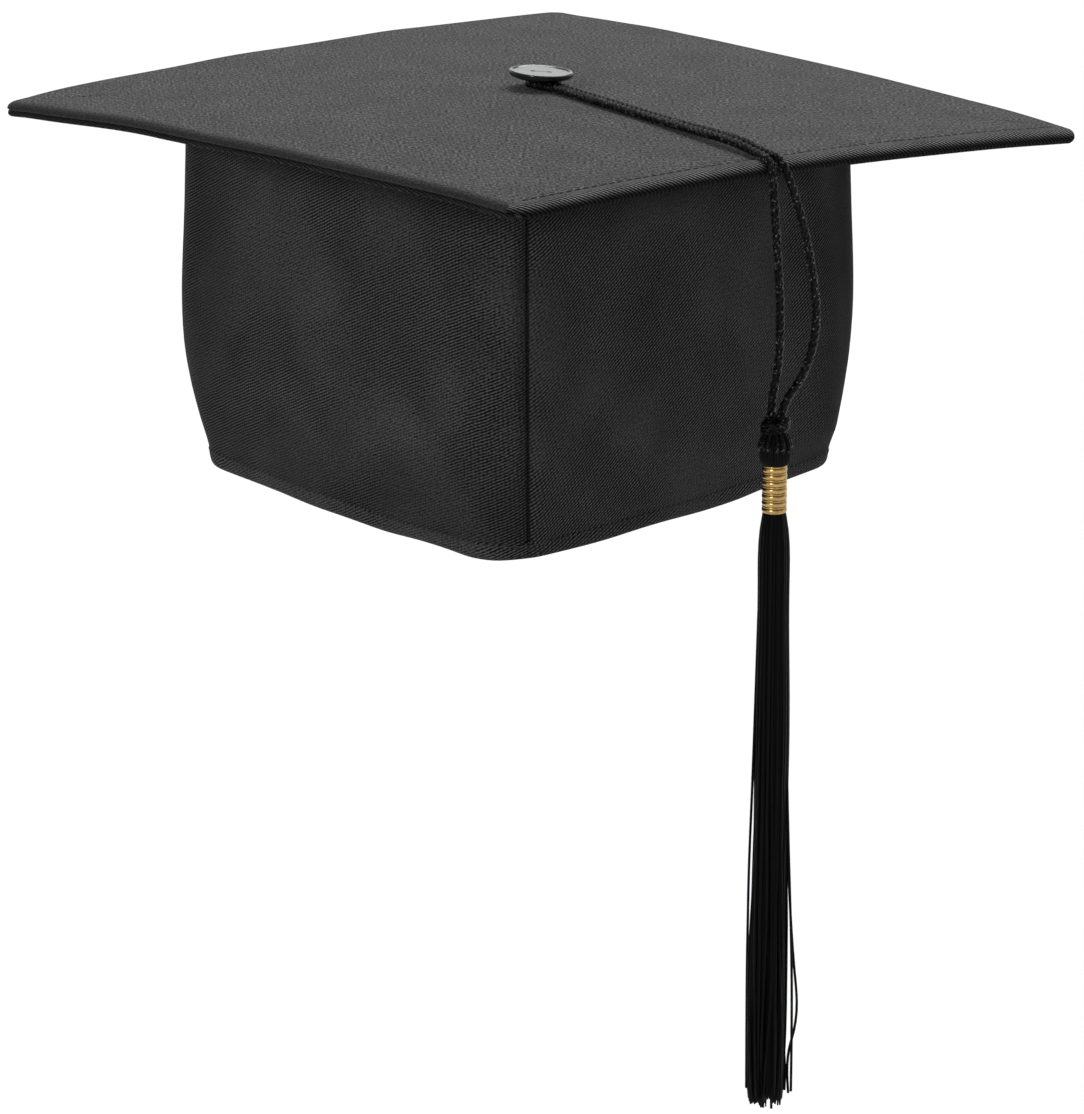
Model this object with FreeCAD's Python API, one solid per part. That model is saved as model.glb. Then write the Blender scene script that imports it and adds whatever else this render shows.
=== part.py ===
import FreeCAD, Part
import math
import os

from FreeCAD import Vector

# Graduation cap. Millimetres and degrees.
# Origin: the centre of the head opening, in the plane of the crown's rim.
# +Z is up, -Y is the front nose of the crown, +X is to the right of the front view.

# ---- board ----
BOARD_SIDE = 241.0
BOARD_THICKNESS = 4.0
BOARD_CORNER_R = 6.0
BOARD_EDGE_R = 1.7
COVER_CLOTH = 0.8
COVER_SEAM_DEPTH = 2.3
BUTTON_AXIS_X = 7.5
BOARD_TOP_Z = 121.0
BOARD_TILT = 1.4
BOW_RADIUS_SIDEWAYS = 1580.0
BOW_RADIUS_FORE_AFT = 4100.0
BOW_HALF_LENGTH = 190.0
BOW_HALF_ANGLE = 7.0

# ---- stitches on the board's right front edge ----
STITCH_INSET = 7.0
STITCH_LENGTH = 2.6
STITCH_PITCH = 3.4
STITCH_WIDTH = 0.5
STITCH_PROUD = 0.2

# ---- crown: height, half width and half length of its outer face ----
CROWN_STATIONS = [
    (0.0, 98.2, 116.3),
    (14.0, 101.0, 118.0),
    (27.0, 103.8, 119.2),
    (40.0, 105.6, 120.0),
    (58.0, 106.0, 120.2),
    (90.0, 104.6, 119.4),
    (125.0, 103.2, 118.6),
]
CROWN_SIDE_CORNER_R = 19.0
CROWN_NOSE_R = 18.0
CROWN_SIDE_ARC_R = 700.0
CROWN_CLOTH = 0.8
CROWN_STIFFENER = 0.8
CROWN_TIP_CLOTH = 0.6
JOIN_THREAD = 0.5

# ---- hem, tapes and elastic ----
HEM_HEIGHT = 5.4
HEM_CLOTH = 0.6
HEM_THREAD_Z = 4.2
HEM_THREAD_WIDTH = 0.4
HEM_THREAD_PROUD = 0.25
TAPE_HALF_WIDTH = 6.0
TAPE_THICKNESS = 0.4
ELASTIC_THICKNESS = 1.0
ELASTIC_HEIGHT = 18.0
ELASTIC_HALF_WIDTH = 62.0

# Longer than the cap in every direction, for solids that only cut others.
REACH = 400.0
CROWN_CUT_DEPTH = 150.0

# ---- button ----
BUTTON_R = 10.0
BUTTON_UNDERSIDE = 3.2
BUTTON_UNDERSIDE_R = 6.0
BUTTON_FLARE = (8.6, 3.4)
BUTTON_SIDE_FOOT = 4.1
BUTTON_SIDE_TOP = 5.2
BUTTON_SHOULDER = (9.88, 5.48)
BUTTON_RIM_R = 9.55
BUTTON_TOP = 5.6
BUTTON_RIM_INSIDE = (9.15, 5.5)
BUTTON_RECESS_R = 8.7
BUTTON_RECESS_FLOOR = 5.25
BUTTON_TILT = 2.0
BUTTON_HOLE_R = 0.9
BUTTON_HOLE_OFFSET = 2.5
THREAD_GROOVE_WIDTH = 0.9
THREAD_GROOVE_DEPTH = 0.4
UNDER_RECESS_R = 4.0
UNDER_RECESS_DEPTH = 0.5
SHANK_R = 1.6
SHANK_INTO_BUTTON = 0.2
SHANK_HOLE_R = 1.65
SHANK_HOLE_REACH = 15.0
KNOT_R = 3.5
KNOT_HEIGHT = 0.9
KNOT_GAP = 0.1

# ---- tassel ----
CORD_R = 1.35
CORD_BEARING = -53.6
CORD_ARC_SHARE = 0.45
TASSEL_X = 80.35
TASSEL_Y = -100.35
WRAP_TOP_Z = 40.0
HEAD_TOP_Z = 35.4
HEAD_R = 4.6
FERRULE_TOP_Z = 25.8
FERRULE_BOTTOM_Z = 11.15
FERRULE_BORE_R = 3.15
FERRULE_GROOVE_R = 3.55
FERRULE_RIB_R = 3.8
FERRULE_RIDGE_R = 3.7
FERRULE_RIBS = 7
FERRULE_RIDGE_SHARE = 0.28
NECK_R = 3.1
WRAP_BORE_R = 3.0
WRAP_GROOVE_R = 3.45
WRAP_CORD_R = 4.15
WRAP_TURNS = 3

# Half width of the fringe against height, from just under the ferrule to its cut end.
FRINGE_PROFILE = [
    (3.5, 11.1),
    (4.5, 5.0),
    (4.9, -12.0),
    (5.5, -48.0),
    (5.8, -92.0),
    (6.9, -130.0),
    (7.2, -158.0),
    (6.4, -180.6),
]

# ---- the loop cord's route ----
# On the board: distance from the button's axis along the cord's bearing, offset to the right
# of it, and height above the cloth. Beyond the edge: x, y, z.
STRAIGHT_STRAND_ON_BOARD = [
    (-3.4, -3.4, 1.5),
    (2.6, -3.4, 1.5),
    (8.5, -1.6, 1.55),
    (20.0, -1.5, 1.55),
    (41.0, -1.8, 1.6),
    (65.0, -1.5, 1.6),
    (86.0, -1.7, 2.2),
    (103.0, -1.6, 2.8),
    (114.0, -1.9, 1.9),
]
BOWED_STRAND_ON_BOARD = [
    (-3.4, 3.4, 1.5),
    (2.6, 3.4, 1.5),
    (8.5, 1.6, 1.55),
    (20.0, 1.5, 1.55),
    (41.0, 1.2, 1.6),
    (65.0, 1.5, 1.6),
    (86.0, 1.3, 2.5),
    (103.0, 1.4, 3.2),
    (114.0, 1.3, 2.0),
]
STRAIGHT_STRAND_BELOW = [
    (78.4, -102.0, 118.3),
    (79.2, -101.4, 109.5),
    (80.3, -101.0, 94.0),
    (81.7, -100.6, 72.0),
    (81.3, -100.45, 56.0),
    (78.9, -100.35, 44.5),
    (78.9, -100.35, HEAD_TOP_Z),
]
BOWED_STRAND_BELOW = [
    (81.3, -99.1, 118.4),
    (84.9, -100.0, 109.5),
    (88.4, -100.6, 97.5),
    (91.4, -101.0, 82.5),
    (92.6, -101.0, 67.5),
    (88.9, -100.8, 53.0),
    (81.8, -100.35, 43.6),
    (81.8, -100.35, HEAD_TOP_Z),
]


# ---------------------------------------------------------------- helpers

def save(shape, node):
    shape.exportStep("parts/" + node + ".step")


def box(low, high):
    size = high - low
    return Part.makeBox(size.x, size.y, size.z, low)


def slab(z_low, z_high):
    return box(Vector(-REACH, -REACH, z_low), Vector(REACH, REACH, z_high))


def revolved(edges):
    """The solid of revolution about the Z axis whose half section has these edges."""
    wire = Part.Wire(edges)
    return Part.Face(wire).revolve(Vector(0, 0, 0), Vector(0, 0, 1), 360)


def line(start, end):
    return Part.LineSegment(start, end).toShape()


def arc(start, middle, end):
    return Part.Arc(start, middle, end).toShape()


def profile(radius, height):
    """A point of a half section for revolved()."""
    return Vector(radius, 0, height)


# ---------------------------------------------------------------- board

def on_board(shape):
    """Takes a shape from the board's own frame (origin at the button's foot) to the cap's frame."""
    shape = shape.copy()
    shape.rotate(Vector(0, 0, 0), Vector(0, 1, 0), BOARD_TILT)
    shape.translate(Vector(BUTTON_AXIS_X, 0, BOARD_TOP_Z))
    return shape


def bow_curve(depth):
    """The board's fore-and-aft bow, a parabola, at a depth below the top face."""
    end_drop = BOW_HALF_LENGTH ** 2 / (2 * BOW_RADIUS_FORE_AFT)
    curve = Part.BezierCurve()
    curve.setPoles([
        Vector(0, -BOW_HALF_LENGTH, -depth - end_drop),
        Vector(0, 0, -depth + end_drop),
        Vector(0, BOW_HALF_LENGTH, -depth - end_drop),
    ])
    return curve.toShape()


def bowed_layer(top_depth, bottom_depth):
    """A layer of the double-bowed board between two depths, wider than the board itself."""
    top = bow_curve(top_depth)
    bottom = bow_curve(bottom_depth)
    top_ends = [vertex.Point for vertex in top.Vertexes]
    bottom_ends = [vertex.Point for vertex in bottom.Vertexes]
    wire = Part.Wire([
        top,
        line(top_ends[1], bottom_ends[1]),
        bottom,
        line(bottom_ends[0], top_ends[0]),
    ])
    face = Part.Face(wire)
    hinge = Vector(0, 0, -BOW_RADIUS_SIDEWAYS)
    face.rotate(hinge, Vector(0, 1, 0), -BOW_HALF_ANGLE)
    return face.revolve(hinge, Vector(0, 1, 0), 2 * BOW_HALF_ANGLE)


def square_prism(side, corner_r):
    """A tall square prism with its rounded corners on the X and Y axes."""
    prism = Part.makeBox(side, side, REACH, Vector(-side / 2, -side / 2, -REACH / 2))
    upright = [edge for edge in prism.Edges if abs(edge.BoundBox.ZLength - REACH) < 0.01]
    prism = prism.makeFillet(corner_r, upright)
    prism.rotate(Vector(0, 0, 0), Vector(0, 0, 1), 45)
    return prism


def rolled_block():
    """The covered board's outside, with its top and bottom edges rolled."""
    block = bowed_layer(0, BOARD_THICKNESS).common(square_prism(BOARD_SIDE, BOARD_CORNER_R))
    rims = [edge for edge in block.Edges if edge.BoundBox.DiagonalLength > BOARD_THICKNESS + 1]
    return block.makeFillet(BOARD_EDGE_R, rims)


def make_shank_hole():
    """The hole for the button's thread, through the board and the cloth under it."""
    foot = Vector(0, 0, -SHANK_HOLE_REACH)
    return Part.makeCylinder(SHANK_HOLE_R, 2 * SHANK_HOLE_REACH, foot)


def make_board():
    shank_hole = make_shank_hole()
    core_side = BOARD_SIDE - 2 * COVER_CLOTH
    core = bowed_layer(COVER_CLOTH, BOARD_THICKNESS - COVER_CLOTH)
    core = core.common(square_prism(core_side, BOARD_CORNER_R - COVER_CLOTH))
    covers = rolled_block().cut(core).cut(shank_hole)
    above_seam = bowed_layer(-1, COVER_SEAM_DEPTH)
    below_seam = bowed_layer(COVER_SEAM_DEPTH, BOARD_THICKNESS + 1)
    save(on_board(core.cut(shank_hole)), "board_core")
    save(on_board(covers.common(above_seam)), "top_cover")
    save(on_board(covers.common(below_seam)), "bottom_cover")


def make_board_topstitch():
    """One row of stitches, seen on both faces, along the board's right front edge."""
    run = BOARD_SIDE - 2 * BOARD_CORNER_R
    count = int(run / STITCH_PITCH)
    first = -(count - 1) * STITCH_PITCH / 2
    away = BOARD_SIDE / 2 - STITCH_INSET
    bars = []
    for index in range(count):
        along = first + index * STITCH_PITCH - STITCH_LENGTH / 2
        bar = Part.makeBox(STITCH_LENGTH, STITCH_WIDTH, REACH, Vector(along, -away, -REACH / 2))
        bar.rotate(Vector(0, 0, 0), Vector(0, 0, 1), 45)
        bars.append(bar)
    bars = Part.makeCompound(bars)
    upper = bowed_layer(-STITCH_PROUD, 0).common(bars)
    lower = bowed_layer(BOARD_THICKNESS, BOARD_THICKNESS + STITCH_PROUD).common(bars)
    save(on_board(Part.makeCompound([upper, lower])), "board_topstitch")


# ---------------------------------------------------------------- crown

def crown_section(height, half_width, half_length, inset):
    """A rounded diamond: four corner arcs joined by four long, slightly bulging side arcs."""
    side_r = CROWN_SIDE_CORNER_R - inset
    nose_r = CROWN_NOSE_R - inset
    long_r = CROWN_SIDE_ARC_R - inset
    side_c = Vector(half_width - CROWN_SIDE_CORNER_R, 0, 0)
    nose_c = Vector(0, half_length - CROWN_NOSE_R, 0)
    # The long arc touches both corner arcs from outside, so its centre is at these two distances.
    to_side = long_r - side_r
    to_nose = long_r - nose_r
    between = nose_c - side_c
    gap = between.Length
    along = (to_side ** 2 - to_nose ** 2 + gap ** 2) / (2 * gap)
    off = math.sqrt(to_side ** 2 - along ** 2)
    unit = between / gap
    normal = Vector(-unit.y, unit.x, 0)
    if normal.x > 0:
        normal = normal * -1
    centre = side_c + unit * along + normal * off

    def touch(corner_c, corner_r):
        direction = corner_c - centre
        return corner_c + direction / direction.Length * corner_r

    side_touch = touch(side_c, side_r)
    nose_touch = touch(nose_c, nose_r)
    middle_way = (side_touch + nose_touch) * 0.5 - centre
    side_middle = centre + middle_way / middle_way.Length * long_r
    side_tip = Vector(half_width - inset, 0, 0)
    nose_tip = Vector(0, half_length - inset, 0)

    def place(point, sx, sy):
        return Vector(point.x * sx, point.y * sy, height)

    edges = [
        arc(place(side_touch, 1, -1), place(side_tip, 1, 1), place(side_touch, 1, 1)),
        arc(place(side_touch, 1, 1), place(side_middle, 1, 1), place(nose_touch, 1, 1)),
        arc(place(nose_touch, 1, 1), place(nose_tip, 1, 1), place(nose_touch, -1, 1)),
        arc(place(nose_touch, -1, 1), place(side_middle, -1, 1), place(side_touch, -1, 1)),
        arc(place(side_touch, -1, 1), place(side_tip, -1, 1), place(side_touch, -1, -1)),
        arc(place(side_touch, -1, -1), place(side_middle, -1, -1), place(nose_touch, -1, -1)),
        arc(place(nose_touch, -1, -1), place(nose_tip, 1, -1), place(nose_touch, 1, -1)),
        arc(place(nose_touch, 1, -1), place(side_middle, 1, -1), place(side_touch, 1, -1)),
    ]
    return Part.Wire(edges)


def crown_body(inset):
    """The solid inside the crown's outer face moved inwards by inset."""
    sections = [crown_section(z, a, b, inset) for z, a, b in CROWN_STATIONS]
    return Part.makeLoft(sections, True, False)


def right_of_seam():
    return box(Vector(BUTTON_AXIS_X, -REACH, -REACH), Vector(REACH, REACH, REACH))


def left_of_seam():
    return box(Vector(-REACH, -REACH, -REACH), Vector(BUTTON_AXIS_X, REACH, REACH))


def save_halves(shell, name):
    save(shell.common(left_of_seam()), name + "_left")
    save(shell.common(right_of_seam()), name + "_right")


def make_crown():
    under_board = on_board(bowed_layer(BOARD_THICKNESS, CROWN_CUT_DEPTH))
    wall_base = slab(HEM_CLOTH, 2 * REACH)
    face_0 = crown_body(0)
    face_1 = crown_body(CROWN_CLOTH)
    wall_inset = CROWN_CLOTH + CROWN_STIFFENER
    face_2 = crown_body(wall_inset)

    panels = face_0.cut(face_1).common(under_board).common(wall_base)
    save_halves(panels, "crown_panel")
    stiffeners = face_1.cut(face_2).common(under_board).common(wall_base)
    save_halves(stiffeners, "crown_stiffener")

    tip_bottom = BOARD_THICKNESS + CROWN_TIP_CLOTH
    tip_layer = bowed_layer(BOARD_THICKNESS, tip_bottom).cut(make_shank_hole())
    tip = on_board(tip_layer).common(face_2)
    save(tip, "crown_tip")

    thread_bottom = tip_bottom + JOIN_THREAD
    thread_ring = face_2.cut(crown_body(wall_inset + JOIN_THREAD))
    save(thread_ring.common(on_board(bowed_layer(tip_bottom, thread_bottom))), "crown_join_stitch")

    tape_ring = face_2.cut(crown_body(wall_inset + TAPE_THICKNESS))
    tape_ring = tape_ring.common(on_board(bowed_layer(thread_bottom, CROWN_CUT_DEPTH)))
    left = BUTTON_AXIS_X - TAPE_HALF_WIDTH
    right = BUTTON_AXIS_X + TAPE_HALF_WIDTH
    front_column = box(Vector(left, -REACH, HEM_HEIGHT), Vector(right, 0, REACH))
    back_column = box(Vector(left, 0, HEM_HEIGHT), Vector(right, REACH, REACH))
    save(tape_ring.common(front_column), "front_seam_tape")
    save(tape_ring.common(back_column), "back_seam_tape")

    elastic_inset = wall_inset + TAPE_THICKNESS
    elastic = crown_body(elastic_inset).cut(crown_body(elastic_inset + ELASTIC_THICKNESS))
    elastic_zone = box(
        Vector(-ELASTIC_HALF_WIDTH, 0, HEM_HEIGHT + HEM_CLOTH),
        Vector(ELASTIC_HALF_WIDTH, REACH, HEM_HEIGHT + HEM_CLOTH + ELASTIC_HEIGHT),
    )
    save(elastic.common(elastic_zone), "elastic_band")


def make_hem():
    wall_inset = CROWN_CLOTH + CROWN_STIFFENER
    outside = crown_body(-HEM_CLOTH)
    inside = crown_body(wall_inset + HEM_CLOTH)
    strip = outside.cut(inside).common(slab(0, HEM_HEIGHT))
    wall = crown_body(0).cut(crown_body(wall_inset)).common(slab(HEM_CLOTH, REACH))
    save_halves(strip.cut(wall), "hem_binding")

    thread_slab = slab(HEM_THREAD_Z, HEM_THREAD_Z + HEM_THREAD_WIDTH)
    outer_thread = crown_body(-HEM_CLOTH - HEM_THREAD_PROUD).cut(outside).common(thread_slab)
    inner_inset = wall_inset + HEM_CLOTH
    inner_thread = inside.cut(crown_body(inner_inset + HEM_THREAD_PROUD)).common(thread_slab)
    save(Part.makeCompound([outer_thread, inner_thread]), "hem_topstitch")


# ---------------------------------------------------------------- button

def on_button(shape):
    """Leans a shape that was built level with the button, then places it on the board."""
    shape = shape.copy()
    shape.rotate(Vector(0, 0, BUTTON_UNDERSIDE), Vector(0, 1, 0), BUTTON_TILT)
    return on_board(shape)


def thread_bar(z_low, z_high):
    """Thread that runs from one button hole to the other between two heights."""
    half = THREAD_GROOVE_WIDTH / 2
    low = Vector(-BUTTON_HOLE_OFFSET, -half, z_low)
    return box(low, Vector(BUTTON_HOLE_OFFSET, half, z_high))


def make_button():
    under_z = BUTTON_UNDERSIDE
    ceiling_z = under_z + UNDER_RECESS_DEPTH
    recess_edge = profile(BUTTON_RECESS_R, BUTTON_RECESS_FLOOR)
    underside_edge = profile(BUTTON_UNDERSIDE_R, under_z)
    side_foot = profile(BUTTON_R, BUTTON_SIDE_FOOT)
    side_top = profile(BUTTON_R, BUTTON_SIDE_TOP)
    rim = profile(BUTTON_RIM_R, BUTTON_TOP)
    edges = [
        line(profile(0, ceiling_z), profile(UNDER_RECESS_R, ceiling_z)),
        line(profile(UNDER_RECESS_R, ceiling_z), profile(UNDER_RECESS_R, under_z)),
        line(profile(UNDER_RECESS_R, under_z), underside_edge),
        arc(underside_edge, profile(*BUTTON_FLARE), side_foot),
        line(side_foot, side_top),
        arc(side_top, profile(*BUTTON_SHOULDER), rim),
        arc(rim, profile(*BUTTON_RIM_INSIDE), recess_edge),
        line(recess_edge, profile(0, BUTTON_RECESS_FLOOR)),
        line(profile(0, BUTTON_RECESS_FLOOR), profile(0, ceiling_z)),
    ]
    button = revolved(edges)
    posts = []
    for side in (-1, 1):
        foot = Vector(side * BUTTON_HOLE_OFFSET, 0, under_z)
        button = button.cut(Part.makeCylinder(BUTTON_HOLE_R, BUTTON_TOP - under_z, foot))
        posts.append(Part.makeCylinder(THREAD_GROOVE_WIDTH / 2, BUTTON_RECESS_FLOOR - under_z, foot))
    groove = thread_bar(BUTTON_RECESS_FLOOR - THREAD_GROOVE_DEPTH, BUTTON_RECESS_FLOOR)
    save(on_button(button.cut(groove)), "button")

    upper = groove.fuse(thread_bar(under_z, ceiling_z))
    for post in posts:
        upper = upper.fuse(post)
    knot_top = -BOARD_THICKNESS - CROWN_TIP_CLOTH - KNOT_GAP
    knot = Part.makeCylinder(KNOT_R, KNOT_HEIGHT, Vector(0, 0, knot_top - KNOT_HEIGHT))
    shank_height = under_z + SHANK_INTO_BUTTON - knot_top
    shank = Part.makeCylinder(SHANK_R, shank_height, Vector(0, 0, knot_top))
    thread = on_button(upper).fuse(on_board(shank.fuse(knot)))
    save(thread, "button_thread")


# ---------------------------------------------------------------- loop cord

def board_point(along, right, height):
    """A point above the board's cloth, from its place along and beside the cord's bearing."""
    bearing = math.radians(CORD_BEARING)
    x = along * math.cos(bearing) - right * math.sin(bearing)
    y = along * math.sin(bearing) + right * math.cos(bearing)
    fall = x ** 2 / (2 * BOW_RADIUS_SIDEWAYS) + y ** 2 / (2 * BOW_RADIUS_FORE_AFT)
    tilt = math.radians(BOARD_TILT)
    up = height - fall
    return Vector(
        BUTTON_AXIS_X + x * math.cos(tilt) + up * math.sin(tilt),
        y,
        BOARD_TOP_Z - x * math.sin(tilt) + up * math.cos(tilt),
    )


def loop_route():
    """From the foot of the straight leg up, round the button's shank and down the bowed leg."""
    straight = [board_point(*local) for local in STRAIGHT_STRAND_ON_BOARD]
    straight += [Vector(*point) for point in STRAIGHT_STRAND_BELOW]
    bowed = [board_point(*local) for local in BOWED_STRAND_ON_BOARD]
    bowed += [Vector(*point) for point in BOWED_STRAND_BELOW]
    return straight[::-1] + bowed


def route_bends(route):
    """For each inner point of a route: where its arc starts, passes and ends, and its radius."""
    bends = {}
    for index in range(1, len(route) - 1):
        point = route[index]
        back = route[index - 1] - point
        ahead = route[index + 1] - point
        turn = math.pi - back.getAngle(ahead)
        reach = CORD_ARC_SHARE * min(back.Length, ahead.Length)
        radius = reach / math.tan(turn / 2)
        start = point + back / back.Length * reach
        end = point + ahead / ahead.Length * reach
        inward = (start + end) * 0.5 - point
        passes = point + inward / inward.Length * (radius / math.cos(turn / 2) - radius)
        bends[index] = (start, passes, end, radius)
    return bends


def cord_stretch(route, first, last):
    """The cord from the middle of run first to the middle of run last; an end run goes to its end."""
    bends = route_bends(route)
    here = (route[first] + route[first + 1]) * 0.5
    if first == 0:
        here = route[0]
    finish = (route[last] + route[last + 1]) * 0.5
    if last == len(route) - 2:
        finish = route[-1]
    edges = []
    for index in range(first + 1, last + 1):
        start, passes, end, _ = bends[index]
        edges.append(line(here, start))
        edges.append(arc(start, passes, end))
        here = end
    edges.append(line(here, finish))
    path = Part.Wire(edges)
    heading = edges[0].tangentAt(edges[0].FirstParameter)
    circle = Part.Circle(path.OrderedVertexes[0].Point, heading, CORD_R)
    tube = path.makePipeShell([Part.Wire([circle.toShape()])], True, False)
    share = tube.Volume / (math.pi * CORD_R ** 2 * path.Length)
    print("cord length", round(path.Length, 1), "volume over section x length", round(share, 4))
    return tube


def make_loop_cord():
    route = loop_route()
    radii = [round(bend[3], 1) for bend in route_bends(route).values()]
    print("cord bend radii", radii)
    runs = [round((b - a).Length, 1) for a, b in zip(route, route[1:])]
    print("cord runs", runs)
    below_straight = len(STRAIGHT_STRAND_BELOW)
    below_bowed = len(BOWED_STRAND_BELOW)
    last_run = len(route) - 2
    # The bend over the edge runs from half way between the last two points on the board
    # to half way between the first two points below it.
    straight_foot = below_straight - 2
    straight_top = below_straight
    bowed_top = last_run - below_bowed
    bowed_foot = last_run - below_bowed + 2
    save(cord_stretch(route, 0, straight_foot), "loop_leg_straight")
    save(cord_stretch(route, straight_top, bowed_top), "loop_cord_top")
    bend_a = cord_stretch(route, straight_foot, straight_top)
    bend_b = cord_stretch(route, bowed_top, bowed_foot)
    save(Part.makeCompound([bend_a, bend_b]), "loop_cord_bend")
    save(cord_stretch(route, bowed_foot, last_run), "loop_leg_bowed")


# ---------------------------------------------------------------- tassel

def on_tassel_axis(edges):
    """Turns a half section about the tassel's own axis."""
    shape = revolved(edges)
    shape.translate(Vector(TASSEL_X, TASSEL_Y, 0))
    return shape


def make_neck_wrap():
    pitch = (WRAP_TOP_Z - HEAD_TOP_Z) / WRAP_TURNS
    edges = [line(profile(WRAP_BORE_R, HEAD_TOP_Z), profile(WRAP_GROOVE_R, HEAD_TOP_Z))]
    for turn in range(WRAP_TURNS):
        low = HEAD_TOP_Z + turn * pitch
        edges.append(arc(
            profile(WRAP_GROOVE_R, low),
            profile(WRAP_CORD_R, low + pitch / 2),
            profile(WRAP_GROOVE_R, low + pitch),
        ))
    edges.append(line(profile(WRAP_GROOVE_R, WRAP_TOP_Z), profile(WRAP_BORE_R, WRAP_TOP_Z)))
    edges.append(line(profile(WRAP_BORE_R, WRAP_TOP_Z), profile(WRAP_BORE_R, HEAD_TOP_Z)))
    save(on_tassel_axis(edges), "neck_wrap")


def make_tassel_head():
    middle_z = (HEAD_TOP_Z + FERRULE_TOP_Z) / 2
    foot = profile(FERRULE_GROOVE_R, FERRULE_TOP_Z)
    shoulder = profile(WRAP_BORE_R, HEAD_TOP_Z)
    edges = [
        line(profile(0, FERRULE_TOP_Z), foot),
        arc(foot, profile(HEAD_R, middle_z), shoulder),
        line(shoulder, profile(0, HEAD_TOP_Z)),
        line(profile(0, HEAD_TOP_Z), profile(0, FERRULE_TOP_Z)),
    ]
    save(on_tassel_axis(edges), "tassel_head")


def make_ferrule():
    """A sleeve pressed into round ribs with one fine ridge between each two."""
    pitch = (FERRULE_TOP_Z - FERRULE_BOTTOM_Z) / FERRULE_RIBS
    rib = pitch * (1 - FERRULE_RIDGE_SHARE)
    bore_foot = profile(FERRULE_BORE_R, FERRULE_BOTTOM_Z)
    bore_top = profile(FERRULE_BORE_R, FERRULE_TOP_Z)
    edges = [line(bore_foot, profile(FERRULE_GROOVE_R, FERRULE_BOTTOM_Z))]
    for index in range(FERRULE_RIBS):
        low = FERRULE_BOTTOM_Z + index * pitch
        edges.append(arc(
            profile(FERRULE_GROOVE_R, low),
            profile(FERRULE_RIB_R, low + rib / 2),
            profile(FERRULE_GROOVE_R, low + rib),
        ))
        edges.append(arc(
            profile(FERRULE_GROOVE_R, low + rib),
            profile(FERRULE_RIDGE_R, low + (rib + pitch) / 2),
            profile(FERRULE_GROOVE_R, low + pitch),
        ))
    edges.append(line(profile(FERRULE_GROOVE_R, FERRULE_TOP_Z), bore_top))
    edges.append(line(bore_top, bore_foot))
    save(on_tassel_axis(edges), "ferrule")


def make_fringe():
    """The hanging yarn with its neck, which fills the ferrule up to the head."""
    side = Part.BSplineCurve()
    side.interpolate([profile(radius, height) for radius, height in FRINGE_PROFILE])
    first_r, first_z = FRINGE_PROFILE[0]
    last_r, last_z = FRINGE_PROFILE[-1]
    neck_top = profile(NECK_R, FERRULE_TOP_Z)
    neck_foot = profile(NECK_R, first_z)
    edges = [
        line(profile(0, FERRULE_TOP_Z), neck_top),
        line(neck_top, neck_foot),
        line(neck_foot, profile(first_r, first_z)),
        side.toShape(),
        line(profile(last_r, last_z), profile(0, last_z)),
        line(profile(0, last_z), profile(0, FERRULE_TOP_Z)),
    ]
    save(on_tassel_axis(edges), "fringe")


make_board()
make_board_topstitch()
make_crown()
make_hem()
make_button()
make_loop_cord()
make_neck_wrap()
make_tassel_head()
make_ferrule()
make_fringe()
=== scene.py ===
import math
import random

import bpy
from mathutils import Matrix, Vector, noise


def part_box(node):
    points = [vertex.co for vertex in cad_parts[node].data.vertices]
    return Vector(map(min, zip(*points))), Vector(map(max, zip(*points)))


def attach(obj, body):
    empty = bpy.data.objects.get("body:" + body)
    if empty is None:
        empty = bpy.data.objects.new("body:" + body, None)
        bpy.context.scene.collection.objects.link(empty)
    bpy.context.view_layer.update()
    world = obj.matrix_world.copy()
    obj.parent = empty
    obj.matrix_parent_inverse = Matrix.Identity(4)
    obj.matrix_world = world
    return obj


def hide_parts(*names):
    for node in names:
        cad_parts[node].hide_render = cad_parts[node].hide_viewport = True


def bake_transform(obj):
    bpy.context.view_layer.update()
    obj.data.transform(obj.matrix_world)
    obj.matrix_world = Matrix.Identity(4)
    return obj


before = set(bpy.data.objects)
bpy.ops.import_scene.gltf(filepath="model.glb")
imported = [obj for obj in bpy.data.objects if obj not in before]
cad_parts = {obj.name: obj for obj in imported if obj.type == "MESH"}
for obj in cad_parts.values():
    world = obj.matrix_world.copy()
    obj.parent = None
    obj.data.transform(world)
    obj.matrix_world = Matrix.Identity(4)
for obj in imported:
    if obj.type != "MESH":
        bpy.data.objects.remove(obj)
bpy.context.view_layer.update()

# Graduation cap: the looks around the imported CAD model. Metres and radians, in the CAD's frame:
# origin in the middle of the head opening, +Z up, front nose at -Y.
MM = 0.001
FINE = random.Random(41)

# ---- board ----
BOARD_HALF_SIDE = 120.5 * MM
BOARD_THICKNESS = 4.0 * MM
BOARD_CORNER_R = 6.0 * MM
COVER_SEAM_DEPTH = 2.3 * MM
BUTTON_AXIS_X = 7.5 * MM
BOARD_TOP_Z = 121.0 * MM
BOARD_TILT = math.radians(1.4)
BOW_RADIUS_SIDEWAYS = 1580 * MM
BOW_RADIUS_FORE_AFT = 4100 * MM
STITCH_INSET = 7.0 * MM
STITCH_LENGTH = 2.6 * MM
STITCH_PITCH = 3.4 * MM
STITCH_THREAD_R = 0.32 * MM
STITCH_ROW_LENGTH = 229 * MM
STITCHED_SIDE = 0
STITCHED_OUT = Vector((math.cos(math.radians(-45)), math.sin(math.radians(-45))))
STITCHED_ALONG = Vector((-STITCHED_OUT.y, STITCHED_OUT.x))
SIDE_STEPS = 72
CORNER_STEPS = 6
TOP_ROLL_REACH = 2.8 * MM
TOP_ROLL_DEPTH = 1.8 * MM
COVER_CLOTH = 0.4 * MM

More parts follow.
